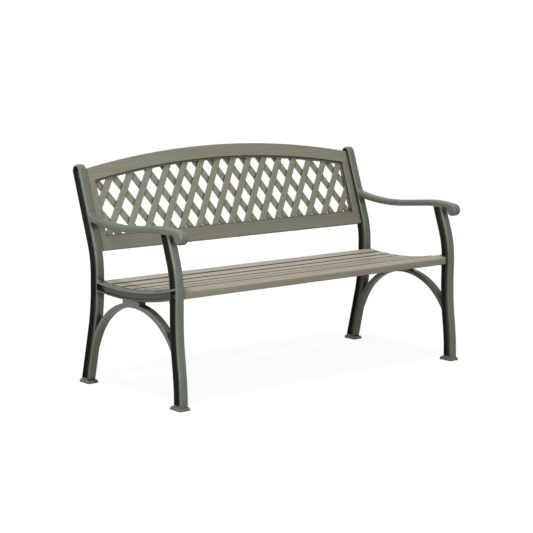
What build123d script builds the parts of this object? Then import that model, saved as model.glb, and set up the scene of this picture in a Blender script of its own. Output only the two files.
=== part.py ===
from build123d import *
import os
from math import asin, atan2, cos, degrees, radians, sin, sqrt, tan

# Garden bench: two cast end frames carry a slatted seat and a latticed back.
# Millimetres, +Z up, the front faces -Y. While it is built, Y = 0 is the middle
# of the front feet; the finished bench is moved so that its origin is the middle
# of its footprint box, on the floor.

# End frames: spacing, width and cross-section
FRAME_SPACING = 1420.0
FRAME_WIDTH = 38.5
WEB = 8.0
FLANGE = 6.5
EDGE_ROUND = 10.0
CORNER_BLEND = 8.0

# Rear post and leg, one S-curve from the foot to the rounded top
POST_DEPTH = 50.0
POST_Y = 521.5
POST_LEAN = 19.4
POST_BEND = 375.0
POST_BEND_HEIGHT = 434.0
POST_TOP = 849.0
REAR_SPLAY = 12.9
REAR_BEND = 820.0
REAR_BEND_HEIGHT = 390.0

# Front leg: leans back above the seat, steps forward below it
LEG_DEPTH = 47.0
LEG_Y = 21.5
LEG_BEND_HEIGHT = 420.0
LEG_STEP_HEIGHT = 340.0
LEG_STEP = 25.0

# Foot pads
PAD_WIDTH = 49.0
PAD_LENGTH = 66.0
PAD_EDGE = 5.0
PAD_FLARE = 8.0
PAD_SLOPE = 32.0
PAD_CORNER = 6.0
PAD_INSET = 5.5

# Armrest, a solid bar that ends in a drooping nose
ARM_THICK = 25.5
ARM_LOW_Y = 365.0
ARM_LOW = 630.5
ARM_DIP_RADIUS = 900.0
ARM_RISE = 5.7
ARM_RUN = 136.0
NOSE_RADIUS = 535.0
NOSE_DROP = 10.0
NOSE_END = 24.5
NOSE_BLEND = 10.0
ARM_BLEND = 25.0

# Seat: a shallow dish, drawn as the arc of the slat tops
SEAT_RADIUS = 1300.0
SEAT_LOW_Y = 350.0
SEAT_LOW = 406.0
SLAT_COUNT = 6
SLAT_PITCH = 66.5
SLAT_WIDTH = 54.5
SLAT_THICK = 20.0
SLAT_ROUND = 3.0
SLAT_REAR_GAP = 3.75
FRONT_SLAT_GAP = 5.8
FRONT_SLAT_STEP = 3.0
FRONT_SLAT_CREST = 4.0
FRONT_SLAT_DROP = 6.0
FRONT_SLAT_FACE = 26.5
FRONT_SLAT_NOSE = 22.0

# Seat rail of the casting and the shelf inside it that carries the slats
SLAT_PROUD = 2.0
RAIL_HEIGHT = 41.0
RAIL_FLANGE = 8.0
RAIL_RECESS = 7.0
RAIL_POCKET = 40.0
SHELF_WIDTH = 34.0
SHELF_THICK = 7.0

# Arched brace under the seat rail
ARCH_SPREAD = 30.5
ARCH_FORWARD = 3.5
ARCH_THICK = 18.0
ARCH_WIDTH = 34.0
ARCH_ROUND = 3.5
ARCH_TOE = 25.0
HUB_GAP = 8.0
HUB_LENGTH = 104.0
HUB_OFFSET = 15.5

# Back panel, measured up its own plane from where the post starts to lean
BACK_THICK = 20.0
BACK_BOTTOM = -39.5
BACK_ARCH = 68.5
BACK_RAIL = 53.5
BACK_STILE = 52.0
BACK_ROUND = 2.5
SHOULDER_RISE = 1.6
WINDOW_EASE = 1.5

# Lattice panel, set into a rebate from behind
LATTICE_RECESS = 8.0
LATTICE_LAYER = 5.0
LATTICE_LAP = 9.0
LATTICE_RIM = 7.0
STRIP_WIDTH = 28.5
STRIP_EASE = 1.0
STRIP_PITCH = 83.5
STRIP_SPREAD = 0.00085
STRIP_RISE = 136.6
STRIP_LIFT = 44.8
STRIP_REACH = 10

# Fasteners and clearances
FIT = 0.3
SNUG = 0.1
BOLT = 8.0
BOLT_HEAD = 14.0
BOLT_HEAD_THICK = 5.0
BOLT_HEAD_ROUND = 1.5
BOLT_LENGTH = 33.0
WASHER = 18.0
WASHER_THICK = 1.6
INSERT = 12.0
INSERT_LENGTH = 28.0
SCREW = 5.0
SCREW_HEAD = 9.5
SCREW_HEAD_THICK = 3.0
SCREW_HEAD_ROUND = 1.0
SCREW_BITE = 13.0
SCREW_SEAT = 1.5
STRAP_WIDTH = 40.0
PIN_SCREW = 3.0
PIN_HEAD = 6.0
PIN_HEAD_THICK = 1.6
PIN_HEAD_ROUND = 0.5
PIN_LENGTH = 14.0
PIN_COUNT = 7
DOWEL = 8.0
DOWEL_LENGTH = 30.0
DOWEL_SPACING = 24.0
TIP_ROOM = 2.0

# Values that follow from the sizes above
FRAME_X = FRAME_SPACING / 2
HALF_FRAME = FRAME_WIDTH / 2
HALF_WEB = WEB / 2
INNER_END = FRAME_X - HALF_WEB - FIT
LEG_FRONT = LEG_Y - LEG_DEPTH / 2
LEG_REAR = LEG_Y + LEG_DEPTH / 2
POST_FRONT = POST_Y - POST_DEPTH / 2
LEAN = radians(POST_LEAN)
LEAN_Y = POST_Y + POST_BEND * (1 - cos(LEAN))
LEAN_Z = POST_BEND_HEIGHT + POST_BEND * sin(LEAN)
REAR_SLOPE = radians(REAR_SPLAY)
REAR_RUN = REAR_BEND_HEIGHT - REAR_BEND * sin(REAR_SLOPE)
REAR_FOOT_Y = POST_Y + REAR_BEND * (1 - cos(REAR_SLOPE)) + REAR_RUN * tan(REAR_SLOPE)
POST_RISE = (POST_TOP - POST_DEPTH / 2 - LEAN_Z) / cos(LEAN)
SEAT_CENTRE_Z = SEAT_LOW + SEAT_RADIUS
FIRST_SLAT_Y = POST_FRONT - SLAT_REAR_GAP - SLAT_WIDTH / 2
SLAT_PLACES = [FIRST_SLAT_Y - n * SLAT_PITCH for n in range(SLAT_COUNT)]
FRONT_SLAT_REAR = SLAT_PLACES[-1] - SLAT_PITCH + SLAT_WIDTH / 2
FRONT_SLAT_FRONT = LEG_FRONT + FLANGE + FRONT_SLAT_GAP
SHELF_DEPTH = SLAT_THICK + FIT
STRAP_THICK = SHELF_THICK - SCREW_SEAT
SCREW_DEPTH = SHELF_DEPTH + STRAP_THICK
SCREW_LENGTH = SCREW_DEPTH - SLAT_THICK + SCREW_BITE
SCREW_PLACES = SLAT_PLACES + [FRONT_SLAT_REAR - SLAT_WIDTH / 2]
SHELF_SCREW_X = FRAME_X - HALF_WEB - SHELF_WIDTH / 2
POCKET_START = PAD_EDGE + PAD_FLARE + FLANGE
BACK_SHOULDER = POST_RISE + SHOULDER_RISE
BACK_CROWN = BACK_SHOULDER + BACK_ARCH
BACK_RADIUS = (INNER_END**2 + BACK_ARCH**2) / (2 * BACK_ARCH)
OPENING_BOTTOM = BACK_BOTTOM + BACK_RAIL
OPENING_SIDE = INNER_END - BACK_STILE
OPENING_RADIUS = BACK_RADIUS - BACK_RAIL
STRIP_START = OPENING_BOTTOM + STRIP_LIFT
LATTICE_FRONT = BACK_THICK / 2 - LATTICE_RECESS
LATTICE_BACK = LATTICE_FRONT - 2 * LATTICE_LAYER
UPRIGHT = (Align.CENTER, Align.CENTER, Align.MIN)
BACK_PLANE = Plane(origin=(0, LEAN_Y, LEAN_Z), x_dir=(1, 0, 0), z_dir=(0, -cos(LEAN), sin(LEAN)))


def heading(degrees_from_rear):
    """Direction in the side view, 0 towards the rear and 90 upwards."""
    angle = radians(degrees_from_rear)
    return Vector(cos(angle), sin(angle))


def onward(edge, length):
    """Straight run that carries on from the end of an edge."""
    return Line(edge @ 1, (edge @ 1) + (edge % 1) * length)


def band(path, width):
    """Strip of even width along a path, with round ends."""
    return make_face(path.offset_2d(width / 2, side=Side.BOTH))


def above(outline, height):
    """The part of a side-view outline above a height."""
    return outline & Pos(0, height + POST_TOP) * Rectangle(4 * POST_TOP, 2 * POST_TOP)


def plate(outline, near, far):
    """Solid of a side-view outline between two X positions."""
    return Pos(near, 0, 0) * extrude(Plane.YZ * outline, amount=far - near)


def right_hand(left):
    """Mirror image of a left-hand piece, for the other end of the bench."""
    return mirror(left, about=Plane.YZ)


def fastener(shank, length, head, head_thick, head_round):
    """Round-headed screw or bolt that points along +Z, its head below Z = 0."""
    cap = Pos(0, 0, -head_thick) * Cylinder(head / 2, head_thick, align=UPRIGHT)
    cap = fillet(cap.edges().sort_by(Axis.Z)[0], head_round)
    return cap + Cylinder(shank / 2, length, align=UPRIGHT)


def hole(diameter, depth):
    """Round hole along +Z from Z = 0."""
    return Cylinder(diameter / 2, depth, align=UPRIGHT)


# Seat geometry

def seat_point(place, depth=0.0):
    """Point on the seat arc at a Y place, or that far below the slat tops."""
    angle = asin((place - SEAT_LOW_Y) / SEAT_RADIUS)
    reach = SEAT_RADIUS + depth
    return Vector(SEAT_LOW_Y + reach * sin(angle), SEAT_CENTRE_Z - reach * cos(angle))


def seat_arc(start, finish, depth):
    """Side-view arc between two Y places at a depth below the slat tops."""
    middle = (start + finish) / 2
    return ThreePointArc(seat_point(start, depth), seat_point(middle, depth), seat_point(finish, depth))


def seat_band(front, rear, top, thickness):
    """Side-view strip that follows the seat arc."""
    upper = seat_arc(front, rear, top)
    lower = seat_arc(rear, front, top + thickness)
    return make_face([upper, Line(upper @ 1, lower @ 0), lower, Line(lower @ 1, upper @ 0)])


def slat_plane(place, depth=0.0):
    """Working plane on the seat arc: X along the slat, Z out of the seat."""
    point = seat_point(place, depth)
    angle = asin((place - SEAT_LOW_Y) / SEAT_RADIUS)
    return Plane(origin=(0, point.X, point.Y), x_dir=(1, 0, 0), z_dir=(0, -sin(angle), cos(angle)))


# End frame: side-view paths and outlines

def post_path():
    """Middle line of the rear leg and post, from below the floor to the top."""
    waist = Line((POST_Y, REAR_BEND_HEIGHT), (POST_Y, POST_BEND_HEIGHT))
    upper_bend = JernArc(waist @ 1, heading(90), POST_BEND, -POST_LEAN)
    lower_bend = JernArc(waist @ 0, heading(-90), REAR_BEND, REAR_SPLAY)
    fall = (REAR_RUN + POST_DEPTH) / cos(REAR_SLOPE)
    return Wire([onward(lower_bend, fall), lower_bend, waist, upper_bend, onward(upper_bend, POST_RISE)])


def leg_path():
    """Middle line of the front leg, from below the floor into the armrest."""
    waist = Line((LEG_Y, LEG_STEP_HEIGHT), (LEG_Y, LEG_BEND_HEIGHT))
    upper_bend = JernArc(waist @ 1, heading(90), POST_BEND, -POST_LEAN)
    rise = (ARM_LOW - (upper_bend @ 1).Y) / cos(LEAN)
    half_fall = LEG_STEP_HEIGHT / 2
    half_step = LEG_STEP / 2
    radius = (half_fall**2 + half_step**2) / (2 * half_step)
    sweep = degrees(2 * atan2(half_step, half_fall))
    outward = JernArc(waist @ 0, heading(-90), radius, -sweep)
    inward = JernArc(outward @ 1, outward % 1, radius, sweep)
    return Wire([onward(inward, LEG_DEPTH), inward, outward, waist, upper_bend, onward(upper_bend, rise)])


def arm_outline():
    """Side view of the armrest: a dipping bar with a rounded, drooping nose."""
    post_meeting = LEAN_Y + (ARM_LOW - LEAN_Z) * tan(LEAN)
    rear_sweep = degrees(asin((post_meeting - ARM_LOW_Y) / ARM_DIP_RADIUS))
    rear = JernArc((ARM_LOW_Y, ARM_LOW), heading(0), ARM_DIP_RADIUS, rear_sweep)
    front = JernArc((ARM_LOW_Y, ARM_LOW), heading(180), ARM_DIP_RADIUS, -ARM_RISE)
    run = onward(front, ARM_RUN)
    nose = JernArc(run @ 1, run % 1, NOSE_RADIUS, ARM_RISE + NOSE_DROP)
    bar = band(Wire([rear, front, run, nose]), ARM_THICK)
    inward = heading(90 + NOSE_DROP) * -(NOSE_END - ARM_THICK / 2)
    outline = bar + Pos(nose @ 1 + inward) * Circle(NOSE_END)
    corner = outline.vertices().sort_by_distance(nose @ 1 + inward * 2)[:1]
    return fillet(corner, NOSE_BLEND)


def arch_outline(front_leg, rear_leg):
    """Side view of the brace: a round arch, straight toes and a hub under the rail."""
    middle = (LEG_Y + POST_Y) / 2 - ARCH_FORWARD
    rail_low = seat_point(middle, SLAT_PROUD + RAIL_HEIGHT).Y
    radius = (POST_Y - LEG_Y) / 2 + ARCH_SPREAD
    centre = (middle, rail_low - HUB_GAP - ARCH_THICK / 2 - radius)
    crown = CenterArc(centre, radius, ARCH_TOE, 180 - 2 * ARCH_TOE)
    rear_toe = IntersectingLine(crown @ 0, -(crown % 0), rear_leg)
    front_toe = IntersectingLine(crown @ 1, crown % 1, front_leg)
    hub_height = HUB_GAP + ARCH_THICK / 2 + RAIL_FLANGE / 2
    hub_middle = rail_low + RAIL_FLANGE / 2 - hub_height / 2
    hub = Pos(middle + HUB_OFFSET, hub_middle) * Rectangle(HUB_LENGTH, hub_height)
    return band(Wire([rear_toe, crown, front_toe]), ARCH_THICK) + hub


def blended_outline(post, leg):
    """Side view of the casting's full-width members, their inner corners rounded."""
    rail = seat_band(LEG_Y, POST_Y, SLAT_PROUD, RAIL_HEIGHT)
    outline = above(band(post, POST_DEPTH) + band(leg, LEG_DEPTH) + arm_outline() + rail, 0)
    arm_root = (LEAN_Y + (ARM_LOW - LEAN_Z) * tan(LEAN), ARM_LOW + 2 * ARM_THICK)
    outline = fillet(outline.vertices().sort_by_distance(arm_root)[:1], ARM_BLEND)
    return offset(offset(outline, CORNER_BLEND), -CORNER_BLEND)


def foot_pad(place):
    """Flared pad under a leg, standing on the floor."""
    base = Pos(0, place, 0) * RectangleRounded(PAD_WIDTH, PAD_LENGTH, PAD_CORNER)
    flare = extrude(Pos(0, 0, PAD_EDGE) * base, amount=PAD_FLARE, taper=PAD_SLOPE)
    return extrude(base, amount=PAD_EDGE) + flare


def front_slat_outline():
    """Side view of the front slat: a crowned top and a dropped nose."""
    rear_top = seat_point(FRONT_SLAT_REAR, FRONT_SLAT_STEP)
    crest = seat_point((FRONT_SLAT_REAR + FRONT_SLAT_FRONT) / 2, FRONT_SLAT_CREST)
    front_top = Vector(FRONT_SLAT_FRONT, crest.Y - FRONT_SLAT_DROP)
    top = ThreePointArc(rear_top, crest, front_top)
    front_low = front_top - Vector(0, FRONT_SLAT_FACE)
    nose_low = front_low + Vector(FRONT_SLAT_NOSE, 0)
    under = seat_arc(FRONT_SLAT_FRONT + FRONT_SLAT_NOSE + SLAT_ROUND, FRONT_SLAT_REAR, SLAT_THICK)
    sides = Polyline(front_top, front_low, nose_low, under @ 0)
    outline = make_face([top, sides, under, Line(under @ 1, rear_top)])
    outline = fillet(outline.vertices().sort_by_distance(front_top)[:1], 2 * SLAT_ROUND)
    corners = [outline.vertices().sort_by_distance(p)[0] for p in (front_low, nose_low, rear_top)]
    return fillet(corners, SLAT_ROUND)


def bolt_planes():
    """Outer face of the left web at each bolt, Z pointing inwards along the bolt."""
    back = [BACK_BOTTOM + BACK_RAIL / 2, BACK_SHOULDER - BACK_RAIL / 2]
    points = [(LEAN_Y + v * sin(LEAN), LEAN_Z + v * cos(LEAN)) for v in back]
    front_top = front_slat_outline().bounding_box().min.Y + FRONT_SLAT_FACE
    points.append((FRONT_SLAT_FRONT + FRONT_SLAT_NOSE / 2, front_top - FRONT_SLAT_FACE / 2))
    return [Plane(origin=(-FRAME_X - HALF_WEB, y, z), z_dir=(1, 0, 0)) for y, z in points]


def end_frame():
    """Left end frame, its inner side towards +X."""
    post = post_path()
    leg = leg_path()
    casting = plate(blended_outline(post, leg), -HALF_FRAME, HALF_FRAME)
    sides = casting.faces().filter_by(Axis.X)
    casting = fillet(sides.edges().filter_by(lambda e: e.center().Z > SNUG), EDGE_ROUND)

    post_pocket = above(band(post, POST_DEPTH - 2 * FLANGE), POCKET_START)
    leg_pocket = above(band(leg, LEG_DEPTH - 2 * FLANGE), POCKET_START) - arm_outline()
    bridge = seat_band(LEG_FRONT, LEG_REAR, SLAT_PROUD, RAIL_FLANGE)
    casting -= plate(post_pocket, -HALF_FRAME, -HALF_WEB)
    casting -= plate(post_pocket, HALF_WEB, HALF_FRAME)
    casting -= plate(leg_pocket - bridge, -HALF_FRAME, -HALF_WEB)
    casting -= plate(leg_pocket, HALF_WEB, HALF_FRAME)

    recess_height = RAIL_HEIGHT - 2 * RAIL_FLANGE
    outer_recess = seat_band(LEG_REAR, POST_FRONT, SLAT_PROUD + RAIL_FLANGE, recess_height)
    end_pocket = seat_band(POST_FRONT - RAIL_POCKET, POST_FRONT, SLAT_PROUD + RAIL_FLANGE, recess_height)
    inner_recess = seat_band(LEG_REAR, POST_FRONT, -RAIL_FLANGE, SLAT_PROUD + RAIL_HEIGHT)
    shelf = seat_band(LEG_Y, POST_FRONT, SHELF_DEPTH, SHELF_THICK)
    casting -= plate(outer_recess, -HALF_FRAME, RAIL_RECESS - HALF_FRAME)
    casting -= plate(end_pocket, -HALF_FRAME, -HALF_WEB)
    casting -= plate(inner_recess, HALF_WEB, HALF_FRAME)
    casting += plate(shelf, 0, HALF_WEB + SHELF_WIDTH)
    brace = plate(arch_outline(leg, post), -ARCH_WIDTH / 2, ARCH_WIDTH / 2)
    brace = fillet(brace.faces().filter_by(Axis.X).edges(), ARCH_ROUND)
    casting += brace - plate(post_pocket + leg_pocket, -HALF_FRAME, HALF_FRAME)
    casting += foot_pad(LEG_Y - LEG_STEP + PAD_INSET)
    casting += foot_pad(REAR_FOOT_Y - PAD_INSET)
    casting -= plate(offset(front_slat_outline(), FIT), HALF_WEB, HALF_WEB + SHELF_WIDTH + FIT)

    casting = Pos(-FRAME_X, 0, 0) * casting
    for place in SCREW_PLACES:
        seat = slat_plane(place, SCREW_DEPTH) * Pos(-SHELF_SCREW_X, 0, 0)
        casting -= seat * Pos(0, 0, -SCREW_SEAT - SNUG) * hole(SCREW_HEAD + 2 * FIT, SCREW_SEAT + SNUG)
        casting -= seat * hole(SCREW + 2 * FIT, STRAP_THICK + FIT)
    for plane in bolt_planes():
        casting -= plane * hole(BOLT + 2 * FIT, WEB)
    return casting


# Seat

def screw_holes(place):
    """Pilot holes in the underside of the slat at a place."""
    pilot = hole(SCREW + 2 * SNUG, SCREW_BITE + TIP_ROOM)
    return [slat_plane(place, SLAT_THICK) * Pos(x, 0, 0) * pilot for x in (-SHELF_SCREW_X, 0, SHELF_SCREW_X)]


def seat_slat(place):
    """Straight board with rounded long edges."""
    board = Pos(0, 0, -SLAT_THICK / 2) * Box(2 * INNER_END, SLAT_WIDTH, SLAT_THICK)
    board = fillet(board.edges().filter_by(Axis.X), SLAT_ROUND)
    return slat_plane(place) * board - screw_holes(place)


def end_sockets(planes):
    """Holes for the threaded inserts in both ends of a rail or slat."""
    depth = INSERT_LENGTH + TIP_ROOM
    left = [plane * Pos(0, 0, WEB + FIT) * hole(INSERT + 2 * SNUG, depth) for plane in planes]
    return left + [right_hand(socket) for socket in left]


def seat_screws(x):
    """One screw per slat, in a line under the seat."""
    screw = fastener(SCREW, SCREW_LENGTH, SCREW_HEAD, SCREW_HEAD_THICK, SCREW_HEAD_ROUND)
    return Compound([slat_plane(place, SCREW_DEPTH) * Pos(x, 0, 0) * screw for place in SCREW_PLACES])


def centre_strap():
    """Flat bar under the middle of the slats, bent to the seat arc."""
    front = SCREW_PLACES[-1] - STRAP_WIDTH / 2
    rear = SCREW_PLACES[0] + STRAP_WIDTH / 2
    outline = seat_band(front, rear, SHELF_DEPTH, STRAP_THICK)
    strap = plate(outline, -STRAP_WIDTH / 2, STRAP_WIDTH / 2)
    for place in SCREW_PLACES:
        strap -= slat_plane(place, SCREW_DEPTH) * Pos(0, 0, -SNUG) * hole(SCREW + 2 * FIT, STRAP_THICK + FIT)
    return strap


# Back panel, drawn flat: X along the bench, Y up the panel, Z out of its front

def arch_height(x, radius):
    """Height of an arc about the centre of the panel's arched top."""
    return BACK_CROWN - BACK_RADIUS + sqrt(radius**2 - x**2)


def panel_area(half_width, bottom, radius):
    """Area with a straight bottom and sides and an arched top."""
    shoulder = arch_height(half_width, radius)
    top = ThreePointArc((half_width, shoulder), (0, arch_height(0, radius)), (-half_width, shoulder))
    sides = Polyline(top @ 1, (-half_width, bottom), (half_width, bottom), top @ 0)
    return make_face([top, sides])


def opening(grow):
    """Window of the back frame, made larger all round."""
    return panel_area(OPENING_SIDE + grow, OPENING_BOTTOM - grow, OPENING_RADIUS + grow)


def slab(outline, rear, front):
    """Solid of a panel outline between two depths."""
    return Pos(0, 0, rear) * extrude(outline, amount=front - rear)


def on_panel(flat):
    """Move a piece drawn flat to its place in the leaning back."""
    return BACK_PLANE * flat


def strip_place(index):
    """Position along the panel of a lattice line; the pitch grows towards the ends."""
    return STRIP_PITCH * (index + STRIP_SPREAD * index**3)


def strips(direction, depth):
    """One layer of slanting strips with eased edges, leaning right (1) or left (-1)."""
    low = OPENING_BOTTOM - 2 * LATTICE_LAP
    low_shift = direction * (low - STRIP_START) / STRIP_RISE
    high_shift = direction * (BACK_CROWN - STRIP_START) / STRIP_RISE
    section = chamfer(Rectangle(STRIP_WIDTH, LATTICE_LAYER).vertices(), STRIP_EASE)
    layer = []
    for line in range(-STRIP_REACH, STRIP_REACH + 1):
        foot = Vector(strip_place(line + low_shift), low, depth)
        head = Vector(strip_place(line + high_shift), BACK_CROWN, depth)
        run = head - foot
        start = Plane(origin=foot, x_dir=(run.Y, -run.X, 0), z_dir=run)
        layer.append(extrude(start * section, amount=run.length))
    return layer


def pin_locations():
    """Screws round the lattice panel, at its rear face and pointing forwards."""
    margin = LATTICE_LAP / 2
    pitch = 2 * OPENING_SIDE / PIN_COUNT
    row = [(n - (PIN_COUNT - 1) / 2) * pitch for n in range(PIN_COUNT)]
    points = [(x, OPENING_BOTTOM - margin) for x in row]
    points += [(x, arch_height(x, OPENING_RADIUS + margin)) for x in row]
    middle = (OPENING_BOTTOM + arch_height(OPENING_SIDE, OPENING_RADIUS)) / 2
    points += [(OPENING_SIDE + margin, middle), (-OPENING_SIDE - margin, middle)]
    return [Pos(x, v, LATTICE_BACK) for x, v in points]


def dowel_locations():
    """Dowels between stiles and rails, centred on the joints and along the stiles."""
    middle = INNER_END - BACK_STILE / 2
    across = [middle - DOWEL_SPACING / 2, middle + DOWEL_SPACING / 2]
    places = []
    for x in across + [-x for x in across]:
        for v in (OPENING_BOTTOM, arch_height(x, OPENING_RADIUS)):
            places.append(Pos(x, v, 0) * Rot(-90, 0, 0))
    return places


def back_frame():
    """Top rail, bottom rail and stiles of the back, with rebate and holes, drawn flat."""
    whole = panel_area(INNER_END, BACK_BOTTOM, BACK_RADIUS)
    below_arch = panel_area(INNER_END + FIT, BACK_BOTTOM - FIT, OPENING_RADIUS)
    top_rail = slab(whole - below_arch, -BACK_THICK / 2, BACK_THICK / 2)
    crown_edges = top_rail.edges().filter_by(lambda e: e.geom_type == GeomType.CIRCLE)
    top_rail = fillet(crown_edges.filter_by(lambda e: e.radius > BACK_RADIUS - FIT), BACK_ROUND)

    bottom_rail = Pos(0, BACK_BOTTOM + BACK_RAIL / 2) * Box(2 * INNER_END, BACK_RAIL, BACK_THICK)
    bottom_rail = fillet(bottom_rail.edges().filter_by(Axis.X).group_by(Axis.Y)[0], BACK_ROUND)

    between = panel_area(INNER_END, OPENING_BOTTOM + SNUG, OPENING_RADIUS - SNUG)
    stile_strip = Pos(-INNER_END + BACK_STILE / 2, BACK_CROWN / 2) * Rectangle(BACK_STILE, 2 * BACK_CROWN)
    left_stile = slab(between & stile_strip, -BACK_THICK / 2, BACK_THICK / 2)

    rebate = slab(opening(LATTICE_LAP + FIT), -BACK_THICK / 2, LATTICE_FRONT + SNUG)
    front = BACK_THICK / 2
    eased = loft([Pos(0, 0, front - WINDOW_EASE) * opening(0), Pos(0, 0, front) * opening(WINDOW_EASE)])
    pin_hole = hole(PIN_SCREW + 2 * SNUG, PIN_LENGTH + TIP_ROOM)
    dowel_hole = Cylinder(DOWEL / 2 + SNUG, DOWEL_LENGTH + TIP_ROOM)
    cuts = [rebate, eased] + [place * pin_hole for place in pin_locations()]
    cuts += [place * dowel_hole for place in dowel_locations()]
    return [on_panel(member - cuts) for member in (top_rail, bottom_rail, left_stile, right_hand(left_stile))]


def lattice_panel():
    """Moulded panel of two crossing strip layers in a thin rim, drawn flat."""
    outline = opening(LATTICE_LAP)
    rim = slab(outline - opening(-LATTICE_RIM), LATTICE_BACK, LATTICE_FRONT)
    front_layer = strips(1, LATTICE_FRONT - LATTICE_LAYER / 2)
    rear_layer = strips(-1, LATTICE_BACK + LATTICE_LAYER / 2)
    panel = (rim + front_layer + rear_layer) & slab(outline, LATTICE_BACK, LATTICE_FRONT)
    pin_hole = hole(PIN_SCREW + 2 * SNUG, PIN_LENGTH)
    return on_panel(panel - [place * pin_hole for place in pin_locations()])


# Fasteners of the back and of the front slat

def both_ends(planes, piece, inset):
    """A fastener at each bolt plane of the left end and its mirror image."""
    left = [plane * Pos(0, 0, inset) * piece for plane in planes]
    return Compound(left + [right_hand(item) for item in left])


bolt = fastener(BOLT, BOLT_LENGTH, BOLT_HEAD, BOLT_HEAD_THICK, BOLT_HEAD_ROUND)
washer = hole(WASHER, WASHER_THICK) - hole(BOLT + 2 * FIT, WASHER_THICK)
insert = hole(INSERT, INSERT_LENGTH) - hole(BOLT + 2 * SNUG, INSERT_LENGTH)
lattice_pin = fastener(PIN_SCREW, PIN_LENGTH, PIN_HEAD, PIN_HEAD_THICK, PIN_HEAD_ROUND)
dowel = Cylinder(DOWEL / 2, DOWEL_LENGTH)

left_frame = end_frame()
*back_planes, front_plane = bolt_planes()
front_slat = plate(front_slat_outline(), -INNER_END, INNER_END)
top_rail, bottom_rail, left_stile, right_stile = back_frame()

nodes = {
    "end_frame_left": left_frame,
    "end_frame_right": right_hand(left_frame),
    "seat_front_slat": front_slat - screw_holes(SCREW_PLACES[-1]) - end_sockets([front_plane]),
    "seat_centre_strap": centre_strap(),
    "seat_screws_left": seat_screws(-SHELF_SCREW_X),
    "seat_screws_right": seat_screws(SHELF_SCREW_X),
    "strap_screws": seat_screws(0),
    "back_top_rail": top_rail - end_sockets(back_planes[1:]),
    "back_bottom_rail": bottom_rail - end_sockets(back_planes[:1]),
    "back_stile_left": left_stile,
    "back_stile_right": right_stile,
    "lattice_panel": lattice_panel(),
    "lattice_screws": Compound([on_panel(place * lattice_pin) for place in pin_locations()]),
    "back_dowels": Compound([on_panel(place * dowel) for place in dowel_locations()]),
    "back_bolts": both_ends(back_planes, bolt, -WASHER_THICK),
    "back_washers": both_ends(back_planes, washer, -WASHER_THICK),
    "back_inserts": both_ends(back_planes, insert, WEB + FIT),
    "front_slat_bolts": both_ends([front_plane], bolt, -WASHER_THICK),
    "front_slat_washers": both_ends([front_plane], washer, -WASHER_THICK),
    "front_slat_inserts": both_ends([front_plane], insert, WEB + FIT),
}
for number, place in enumerate(SLAT_PLACES, start=1):
    nodes[f"seat_slat_{number}"] = seat_slat(place)

footprint_middle = Compound(list(nodes.values())).bounding_box().center().Y
os.makedirs("parts", exist_ok=True)
for name, shape in nodes.items():
    export_step(Pos(0, -footprint_middle, 0) * shape, f"parts/{name}.step")
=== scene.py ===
import math

import bpy
from mathutils import Matrix, Vector

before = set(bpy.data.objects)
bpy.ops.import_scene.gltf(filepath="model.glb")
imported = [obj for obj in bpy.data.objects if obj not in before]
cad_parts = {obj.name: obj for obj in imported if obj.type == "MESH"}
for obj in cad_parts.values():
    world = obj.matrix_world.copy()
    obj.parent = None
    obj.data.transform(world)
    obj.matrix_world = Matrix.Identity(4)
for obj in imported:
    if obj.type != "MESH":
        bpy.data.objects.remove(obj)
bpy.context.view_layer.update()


# End frames: a metal casting at each end of the bench, in a satin grey-green paint.
# Rear post, front leg, armrest, seat rail and arched brace come out of one mould; the
# sides of post, leg and rail are recessed to a thin web, darkened with painted shade.

def effect(name, takes, gives):
    """A shader node group with named sockets; gives its tree and the two end nodes."""
    tree = bpy.data.node_groups.new(name, "ShaderNodeTree")
    kinds = {"colour": "NodeSocketColor", "value": "NodeSocketFloat", "vector": "NodeSocketVector"}
    for socket, kind in takes.items():
        tree.interface.new_socket(socket, in_out="INPUT", socket_type=kinds[kind])
    for socket, kind in gives.items():
        tree.interface.new_socket(socket, in_out="OUTPUT", socket_type=kinds[kind])
    return tree, tree.nodes.new("NodeGroupInput"), tree.nodes.new("NodeGroupOutput")


def add(tree, kind, inputs=None, **settings):
    """A node in a tree, with its settings and the values or links of its sockets."""
    made = tree.nodes.new(kind)
    for name, value in settings.items():
        setattr(made, name, value)
    for socket, value in (inputs or {}).items():
        if isinstance(value, bpy.types.NodeSocket):
            tree.links.new(value, made.inputs[socket])
        else:
            made.inputs[socket].default_value = value
    return made


def place_on(tree):
    """Where a point of the surface lies on the bench, in metres."""
    return add(tree, "ShaderNodeTexCoord").outputs["Object"]


def split(tree, vector):
    """The X, Y and Z of a vector."""
    return add(tree, "ShaderNodeSeparateXYZ", {"Vector": vector}).outputs


def facing_of(tree):
    """The X, Y and Z of the way that the surface faces."""
    return split(tree, add(tree, "ShaderNodeNewGeometry").outputs["Normal"])


def rescaled(tree, value, start, full, to_start=0.0, to_full=1.0):
    """A value moved from one range to another and held inside it."""
    return add(tree, "ShaderNodeMapRange", {
        "Value": value, "From Min": start, "From Max": full,
        "To Min": to_start, "To Max": to_full}).outputs["Result"]


def worked(tree, operation, first, second=0.0):
    """One step of arithmetic on values."""
    return add(tree, "ShaderNodeMath", {0: first, 1: second}, operation=operation).outputs[0]


def scaled(tree, vector, factor):
    """A colour or a place times one factor."""
    return add(tree, "ShaderNodeVectorMath", {0: vector, "Scale": factor}, operation="SCALE").outputs[0]


def multiplied(tree, vector, factors):
    """A colour or a place times a factor for each of its three values."""
    return add(tree, "ShaderNodeVectorMath", {0: vector, 1: factors}, operation="MULTIPLY").outputs[0]


def mixed(tree, share, ground, over):
    """A colour laid over another by a share from 0 to 1."""
    return add(tree, "ShaderNodeMix", {0: share, 6: ground, 7: over}, data_type="RGBA").outputs[2]
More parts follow.
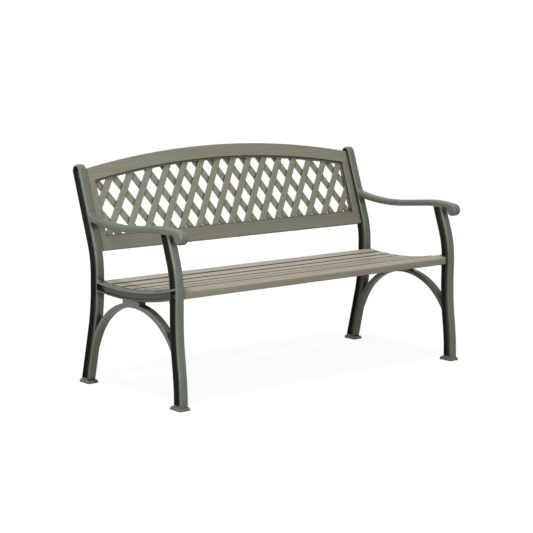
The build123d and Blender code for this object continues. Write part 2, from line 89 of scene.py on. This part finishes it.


# The coat's effect: painted shade in hollows and on the side webs, a painted highlight on
# convex edges, painted shade, dull and olive, under the seat, on the inner side and at the
# feet, with a faint unevenness of tone and the fine ripple of a sprayed paint over a sand
# casting. Each pair of places, in metres, says where a share starts and where it is full.
hollow_width = 0.03
rim_width = 0.004
web_from_middle = (0.7245, 0.7230)
below_arms = (0.66, 0.40)
behind_knee = (-0.275, -0.235)
feet_shade_height = (0.05, 0.015)

cast_coat, given, result = effect(
    "cast_coat",
    {"Coat": "colour", "Painted shade": "colour", "Hollow shade": "colour", "Edge highlight": "colour", "Highlight strength": "value"},
    {"Colour": "colour", "Roughness": "value", "Height": "value"})
place = place_on(cast_coat)
spot = split(cast_coat, place)
facing = facing_of(cast_coat)
cloud = add(cast_coat, "ShaderNodeTexNoise", {
    "Vector": place, "Scale": 14.0, "Detail": 4.0, "Roughness": 0.6}).outputs["Fac"]
ripple = add(cast_coat, "ShaderNodeTexNoise", {
    "Vector": place, "Scale": 420.0, "Detail": 2.0}).outputs["Fac"]
openness = add(cast_coat, "ShaderNodeAmbientOcclusion", {"Distance": hollow_width},
               samples=8, only_local=True).outputs["AO"]
depth = add(cast_coat, "ShaderNodeAmbientOcclusion", {"Distance": rim_width},
            samples=8, only_local=True, inside=True).outputs["AO"]

# Painted shade, darker and more olive: below the arms on inner faces and on faces behind the front leg,
# and at the very feet.
end = worked(cast_coat, "SIGN", spot["X"])
outward = worked(cast_coat, "MULTIPLY", facing["X"], end)
behind = rescaled(cast_coat, spot["Y"], *behind_knee)
knee_shade = worked(cast_coat, "MULTIPLY", behind, rescaled(cast_coat, outward, 0.8, 0.3, 0.0, 0.85))
inner = rescaled(cast_coat, outward, -0.3, -0.8)
side_shade = worked(cast_coat, "MAXIMUM", knee_shade, inner)
low_shade = worked(cast_coat, "MULTIPLY", rescaled(cast_coat, spot["Z"], *below_arms), side_shade)
feet_shade = rescaled(cast_coat, spot["Z"], *feet_shade_height, 0.0, 0.6)
coat_shade_share = worked(cast_coat, "MAXIMUM", low_shade, feet_shade)

# Painted shade in the hollows, by occlusion, and on the outer webs of post, leg and rail.
from_middle = worked(cast_coat, "ABSOLUTE", spot["X"])
on_web = rescaled(cast_coat, from_middle, *web_from_middle, 0.0, 0.68)
web_shade_share = worked(cast_coat, "MULTIPLY", on_web, rescaled(cast_coat, outward, 0.8, 0.95))
hollow_shade_share = rescaled(cast_coat, openness, 0.97, 0.77)
hollow_and_web_shade_share = worked(cast_coat, "MAXIMUM", hollow_shade_share, web_shade_share)
# Painted highlight: paler along convex edges.
edge_highlight_share = worked(cast_coat, "MULTIPLY", rescaled(cast_coat, depth, 0.45, 0.15), given.outputs["Highlight strength"])

shaded_coat = mixed(cast_coat, coat_shade_share, given.outputs["Coat"], given.outputs["Painted shade"])
clouded = scaled(cast_coat, shaded_coat, rescaled(cast_coat, cloud, 0.3, 0.7, 0.94, 1.06))
with_hollow_shade = mixed(cast_coat, hollow_and_web_shade_share, clouded, given.outputs["Hollow shade"])
with_edge_highlight = mixed(cast_coat, edge_highlight_share, with_hollow_shade, given.outputs["Edge highlight"])
satin = rescaled(cast_coat, cloud, 0.3, 0.7, 0.34, 0.44)
cast_coat.links.new(with_edge_highlight, result.inputs["Colour"])
cast_coat.links.new(satin, result.inputs["Roughness"])
cast_coat.links.new(ripple, result.inputs["Height"])


def srgb(red, green, blue):
    """Colour written as it shows on a screen, 0 to 255, as linear values."""
    def linear(level):
        share = level / 255
        return share / 12.92 if share <= 0.04045 else ((share + 0.055) / 1.055) ** 2.4
    return (linear(red), linear(green), linear(blue), 1.0)


def finish(name):
    """A new material with a bare Principled shader on its output."""
    made = bpy.data.materials.new(name)
    made.use_nodes = True
    tree = made.node_tree
    tree.nodes.clear()
    shader = tree.nodes.new("ShaderNodeBsdfPrincipled")
    output = tree.nodes.new("ShaderNodeOutputMaterial")
    tree.links.new(shader.outputs["BSDF"], output.inputs["Surface"])
    return made, tree, shader


def surfaced(tree, shader, skin, strength, height):
    """Puts an effect's colour, roughness and relief on a shader."""
    relief = add(tree, "ShaderNodeBump", {
        "Height": skin.outputs["Height"], "Strength": strength, "Distance": height})
    tree.links.new(skin.outputs["Colour"], shader.inputs["Base Color"])
    tree.links.new(skin.outputs["Roughness"], shader.inputs["Roughness"])
    tree.links.new(relief.outputs["Normal"], shader.inputs["Normal"])


def coat(node, material):
    """Puts a material on every slot of a model node."""
    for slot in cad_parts[node].material_slots:
        slot.material = material


frame_paint, tree, shader = finish("frame_paint")
# Of the colours below, the second is painted shade under the seat and at the feet, the third painted
# shade in hollows and webs, and the fourth a painted highlight on edges.
paint_skin = add(tree, "ShaderNodeGroup", {
    "Coat": srgb(102, 110, 99), "Painted shade": srgb(80, 84, 66), "Hollow shade": srgb(31, 33, 26),
    "Edge highlight": srgb(135, 146, 137), "Highlight strength": 0.25}, node_tree=cast_coat)
surfaced(tree, shader, paint_skin, strength=0.12, height=0.0004)
shader.inputs["Specular IOR Level"].default_value = 0.45
for side in ("left", "right"):
    coat(f"end_frame_{side}", frame_paint)


# Seat slats: six straight boards along a shallow dish, stained grey-taupe. Their long
# edges are rounded, and each is screwed from below to the shelf in both end frames.

# The boards' effect: a stain over drawn-out fibres and a broader figure, with painted
# light on faces that look up, painted shade in the corners and narrow gaps and a painted
# shadow line where the last slat meets the front one.
shade_line_span = (-0.187, -0.203)

board_grain, given, result = effect(
    "board_grain",
    {"Along": "vector", "Stain and shade": "colour", "Dark": "colour", "Lit top": "colour", "Corner shade": "colour",
     "Reach": "value", "Shade line": "value"},
    {"Colour": "colour", "Roughness": "value", "Height": "value"})
fibre = add(board_grain, "ShaderNodeTexNoise", {
    "Vector": given.outputs["Along"], "Scale": 1.0, "Detail": 6.0, "Roughness": 0.65}).outputs["Fac"]
figure = add(board_grain, "ShaderNodeTexNoise", {
    "Vector": scaled(board_grain, given.outputs["Along"], 0.16),
    "Scale": 1.0, "Detail": 3.0, "Distortion": 0.6}).outputs["Fac"]
openness = add(board_grain, "ShaderNodeAmbientOcclusion", {"Distance": given.outputs["Reach"]},
               samples=8).outputs["AO"]
spot = split(board_grain, place_on(board_grain))
facing = facing_of(board_grain)

# Painted light: faces that look up are lighter.
top_light_share = rescaled(board_grain, facing["Z"], 0.7, 0.965)
# Painted shade in corners and narrow gaps, by occlusion.
gap_shade_share = rescaled(board_grain, openness, 0.96, 0.62, 0.0, 0.95)
# Painted shadow line where the last slat meets the front one.
shade_line_share = worked(board_grain, "MULTIPLY", rescaled(board_grain, spot["Y"], *shade_line_span),
                    given.outputs["Shade line"])
board_shade_share = worked(board_grain, "MAXIMUM", gap_shade_share, shade_line_share)
fibre_share = rescaled(board_grain, fibre, 0.54, 0.34, 0.0, 0.5)

top_lit = mixed(board_grain, top_light_share, given.outputs["Stain and shade"], given.outputs["Lit top"])
figured = scaled(board_grain, top_lit, rescaled(board_grain, figure, 0.3, 0.7, 0.95, 1.05))
darkened = multiplied(board_grain, figured, given.outputs["Dark"])
grained = mixed(board_grain, fibre_share, figured, darkened)
shaded_board = mixed(board_grain, board_shade_share, grained, given.outputs["Corner shade"])
dull = rescaled(board_grain, fibre, 0.3, 0.7, 0.62, 0.5)
board_grain.links.new(shaded_board, result.inputs["Colour"])
board_grain.links.new(dull, result.inputs["Roughness"])
board_grain.links.new(fibre, result.inputs["Height"])

fibres_per_metre = (2.2, 170.0, 170.0)
fibre_dark = (0.74, 0.72, 0.68, 1.0)
board_shade = srgb(40, 36, 28)


def board_finish(name, stain_and_shade, lit_top, along, reach, shade_line=0.0):
    """A stained board; along gives, in its tree, the grain's place with X along the board,
    reach is how far the painted corner shade spreads, the last value how dark the painted shadow line
    is."""
    made, tree, shader = finish(name)
    grain = add(tree, "ShaderNodeGroup", {
        "Along": multiplied(tree, along(tree), fibres_per_metre), "Stain and shade": stain_and_shade, "Dark": fibre_dark,
        "Lit top": lit_top, "Corner shade": board_shade, "Reach": reach, "Shade line": shade_line}, node_tree=board_grain)
    surfaced(tree, shader, grain, strength=0.25, height=0.0006)
    return made


def lengthwise(tree):
    """Grain of a board that runs along the bench."""
    return place_on(tree)


seat_reach = 0.03
slat_count = 6
# The seat's dark colour on faces that don't look up is painted shade in the gaps, its pale top is
# painted light, and its last value paints a shadow line by the front slat.
seat_boards_shaded = board_finish(
    "seat_boards", stain_and_shade=srgb(48, 43, 33), lit_top=srgb(162, 154, 140),
    along=lengthwise, reach=seat_reach, shade_line=0.9)
for number in range(1, slat_count + 1):
    coat(f"seat_slat_{number}", seat_boards_shaded)


# Front slat: the wider stained board at the knee, shaped with a crowned top and a
# dropped nose. It is bolted through the webs of both front legs, into threaded inserts
# in its ends.

knee_stain = board_finish(
    "front_slat", stain_and_shade=srgb(140, 137, 120), lit_top=srgb(154, 147, 133),
    along=lengthwise, reach=seat_reach)
coat("seat_front_slat", knee_stain)


# Back frame: an arched top rail, a straight bottom rail and two stiles, dowelled
# together and stained a little greyer than the seat. It is bolted through the webs of
# both rear posts.

back_lean = math.radians(19.4)


def up_the_back(tree):
    """Grain of a stile, which runs up the leaning back."""
    upright = add(tree, "ShaderNodeVectorRotate", {
        "Vector": place_on(tree), "Axis": (1.0, 0.0, 0.0), "Angle": back_lean}).outputs[0]
    turned = split(tree, upright)
    return add(tree, "ShaderNodeCombineXYZ", {
        "X": turned["Z"], "Y": turned["Y"], "Z": turned["X"]}).outputs[0]


back_reach = 0.018
top_rail_stain = board_finish(
    "back_top_rail", stain_and_shade=srgb(133, 132, 118), lit_top=srgb(150, 145, 132),
    along=lengthwise, reach=back_reach)
# The bottom rail is darker than the top one as painted shade, for its lower place behind the arms.
bottom_rail_in_shade = board_finish(
    "back_bottom_rail", stain_and_shade=srgb(122, 121, 107), lit_top=srgb(143, 138, 125),
    along=lengthwise, reach=back_reach)
stile_stain = board_finish(
    "back_stiles", stain_and_shade=srgb(129, 128, 114), lit_top=srgb(148, 143, 130),
    along=up_the_back, reach=back_reach)
coat("back_top_rail", top_rail_stain)
coat("back_bottom_rail", bottom_rail_in_shade)
for side in ("left", "right"):
    coat(f"back_stile_{side}", stile_stain)


# Lattice panel: one moulding of two crossing layers of strips in a thin rim, stained
# like the back frame. It is set into that frame from behind and held by small screws.

lattice_stain = board_finish(
    "lattice", stain_and_shade=srgb(135, 135, 121), lit_top=srgb(150, 145, 132),
    along=lengthwise, reach=back_reach)
coat("lattice_panel", lattice_stain)


# Strap and screws: the flat strap under the middle of the seat, the screws that hold
# it and the slats, and the small ones of the lattice panel, all of zinc-plated steel.

zinc_plate, tree, shader = finish("zinc_plate")
spangle = add(tree, "ShaderNodeTexVoronoi", {
    "Vector": place_on(tree), "Scale": 260.0}).outputs["Distance"]
zinc = mixed(tree, spangle, srgb(176, 178, 180), srgb(140, 143, 146))
tree.links.new(zinc, shader.inputs["Base Color"])
tree.links.new(rescaled(tree, spangle, 0.0, 1.0, 0.3, 0.5), shader.inputs["Roughness"])
shader.inputs["Metallic"].default_value = 1.0
for node in (
        "seat_centre_strap", "strap_screws", "seat_screws_left", "seat_screws_right", "lattice_screws"):
    coat(node, zinc_plate)


# Bolts and washers: steel in a black coat, in the webs of the posts and front legs.
# They draw the back frame and the front slat up against the castings.

black_steel, tree, shader = finish("black_steel")
scuff = add(tree, "ShaderNodeTexNoise", {
    "Vector": place_on(tree), "Scale": 180.0, "Detail": 4.0}).outputs["Fac"]
blacking = mixed(tree, scuff, srgb(38, 39, 36), srgb(62, 63, 58))
tree.links.new(blacking, shader.inputs["Base Color"])
tree.links.new(rescaled(tree, scuff, 0.3, 0.7, 0.35, 0.55), shader.inputs["Roughness"])
for node in ("back_bolts", "back_washers", "front_slat_bolts", "front_slat_washers"):
    coat(node, black_steel)


# Inserts and dowels: turned brass inserts, driven into the ends of the boards for the
# bolts, and beech dowels between the stiles and the rails of the back.

turned_brass, tree, shader = finish("turned_brass")
tarnish = add(tree, "ShaderNodeTexNoise", {
    "Vector": place_on(tree), "Scale": 300.0, "Detail": 3.0}).outputs["Fac"]
brass = mixed(tree, tarnish, srgb(196, 164, 98), srgb(150, 118, 64))
tree.links.new(brass, shader.inputs["Base Color"])
tree.links.new(rescaled(tree, tarnish, 0.3, 0.7, 0.34, 0.46), shader.inputs["Roughness"])
shader.inputs["Metallic"].default_value = 1.0
for node in ("back_inserts", "front_slat_inserts"):
    coat(node, turned_brass)

beech = srgb(196, 164, 122)
dowel_wood = board_finish("dowel_wood", stain_and_shade=beech, lit_top=beech, along=up_the_back, reach=0.01)
coat("back_dowels", dowel_wood)


# Studio: a white floor that keeps the bench's faint shadow, an even surround, a high
# soft sun, a broad lamp from the left front and a weaker one behind.

scene = bpy.context.scene


def seen_directly(tree):
    """1 for rays from the camera, straight, mirrored or through glass, else 0."""
    rays = add(tree, "ShaderNodeLightPath").outputs
    mirrored = worked(tree, "MAXIMUM", rays["Is Camera Ray"], rays["Is Glossy Ray"])
    return worked(tree, "MAXIMUM", mirrored, rays["Is Transmission Ray"])


floor_half = 40.0
corners = [
    (-floor_half, -floor_half, 0), (floor_half, -floor_half, 0),
    (floor_half, floor_half, 0), (-floor_half, floor_half, 0)]
floor_mesh = bpy.data.meshes.new("studio_floor")
floor_mesh.from_pydata(corners, [], [(0, 1, 2, 3)])
floor = bpy.data.objects.new("studio_floor", floor_mesh)
scene.collection.objects.link(floor)
floor_white = bpy.data.materials.new("studio_floor")
floor_white.use_nodes = True
tree = floor_white.node_tree
tree.nodes.clear()
matt = add(tree, "ShaderNodeBsdfDiffuse", {"Color": (0.2, 0.19, 0.17, 1.0)}).outputs[0]
white = add(tree, "ShaderNodeEmission", {"Color": (0.9, 0.9, 0.9, 1.0), "Strength": 1.0}).outputs[0]
pale = add(tree, "ShaderNodeBsdfDiffuse", {"Color": (0.13, 0.13, 0.13, 1.0)}).outputs[0]
shown = add(tree, "ShaderNodeAddShader", {0: white, 1: pale}).outputs[0]
either = add(tree, "ShaderNodeMixShader", {"Fac": seen_directly(tree), 1: matt, 2: shown}).outputs[0]
add(tree, "ShaderNodeOutputMaterial", {"Surface": either})
floor_mesh.materials.append(floor_white)

world = bpy.data.worlds.new("studio")
world.use_nodes = True
scene.world = world
tree = world.node_tree
tree.nodes.clear()
seen = seen_directly(tree)
level = rescaled(tree, seen, 0.0, 1.0, 0.25, 1.0)
tint = mixed(tree, seen, (1.0, 0.95, 0.84, 1.0), (1.0, 1.0, 1.0, 1.0))
surround = add(tree, "ShaderNodeBackground", {"Color": tint, "Strength": level}).outputs[0]
add(tree, "ShaderNodeOutputWorld", {"Surface": surround})


def lamp(name, kind, energy, stand, aim):
    """A lamp at a place, turned towards a point."""
    light = bpy.data.lights.new(name, kind)
    light.energy = energy
    made = bpy.data.objects.new(name, light)
    made.location = stand
    made.rotation_euler = (Vector(aim) - Vector(stand)).to_track_quat("-Z", "Y").to_euler()
    scene.collection.objects.link(made)
    return made


high_sun = lamp("high_sun", "SUN", energy=1.7, stand=(-1.0, -0.6, 5.0), aim=(0.0, 0.0, 0.0))
high_sun.data.angle = math.radians(12)
side_lamp = lamp("side_lamp", "AREA", energy=150.0, stand=(-3.5, -3.2, 2.2), aim=(0.0, 0.0, 0.45))
side_lamp.data.size = 2.5
rear_lamp = lamp("rear_lamp", "AREA", energy=70.0, stand=(1.5, 4.2, 1.4), aim=(0.0, 0.2, 0.5))
rear_lamp.data.size = 3.0
rear_lamp.visible_glossy = False

scene.view_settings.view_transform = "Standard"


# Camera: the photograph's view, from the left front and a little above the seat, with
# a long lens and a slight roll. The focal length is in the photograph's pixels.

stand = (-4.3377, -5.02551, 1.4596)
azimuth = math.radians(-40.6083)
elevation = math.radians(8.8816)
roll = math.radians(0.4906)
focal_length = 1670.56
photo_width = 533
film_width = 36.0

back = Vector((
    math.sin(azimuth) * math.cos(elevation),
    -math.cos(azimuth) * math.cos(elevation),
    math.sin(elevation)))
right = Vector((math.cos(azimuth), math.sin(azimuth), 0.0))
up = back.cross(right)
rolled_right = right * math.cos(roll) + up * math.sin(roll)
rolled_up = up * math.cos(roll) - right * math.sin(roll)
turn = Matrix((rolled_right, rolled_up, back)).transposed().to_4x4()

lens = bpy.data.cameras.new("photo_camera")
lens.sensor_width = film_width
lens.lens = film_width * focal_length / photo_width
lens.clip_end = 200.0
camera = bpy.data.objects.new("photo_camera", lens)
camera.matrix_world = Matrix.Translation(stand) @ turn
scene.collection.objects.link(camera)
scene.camera = camera
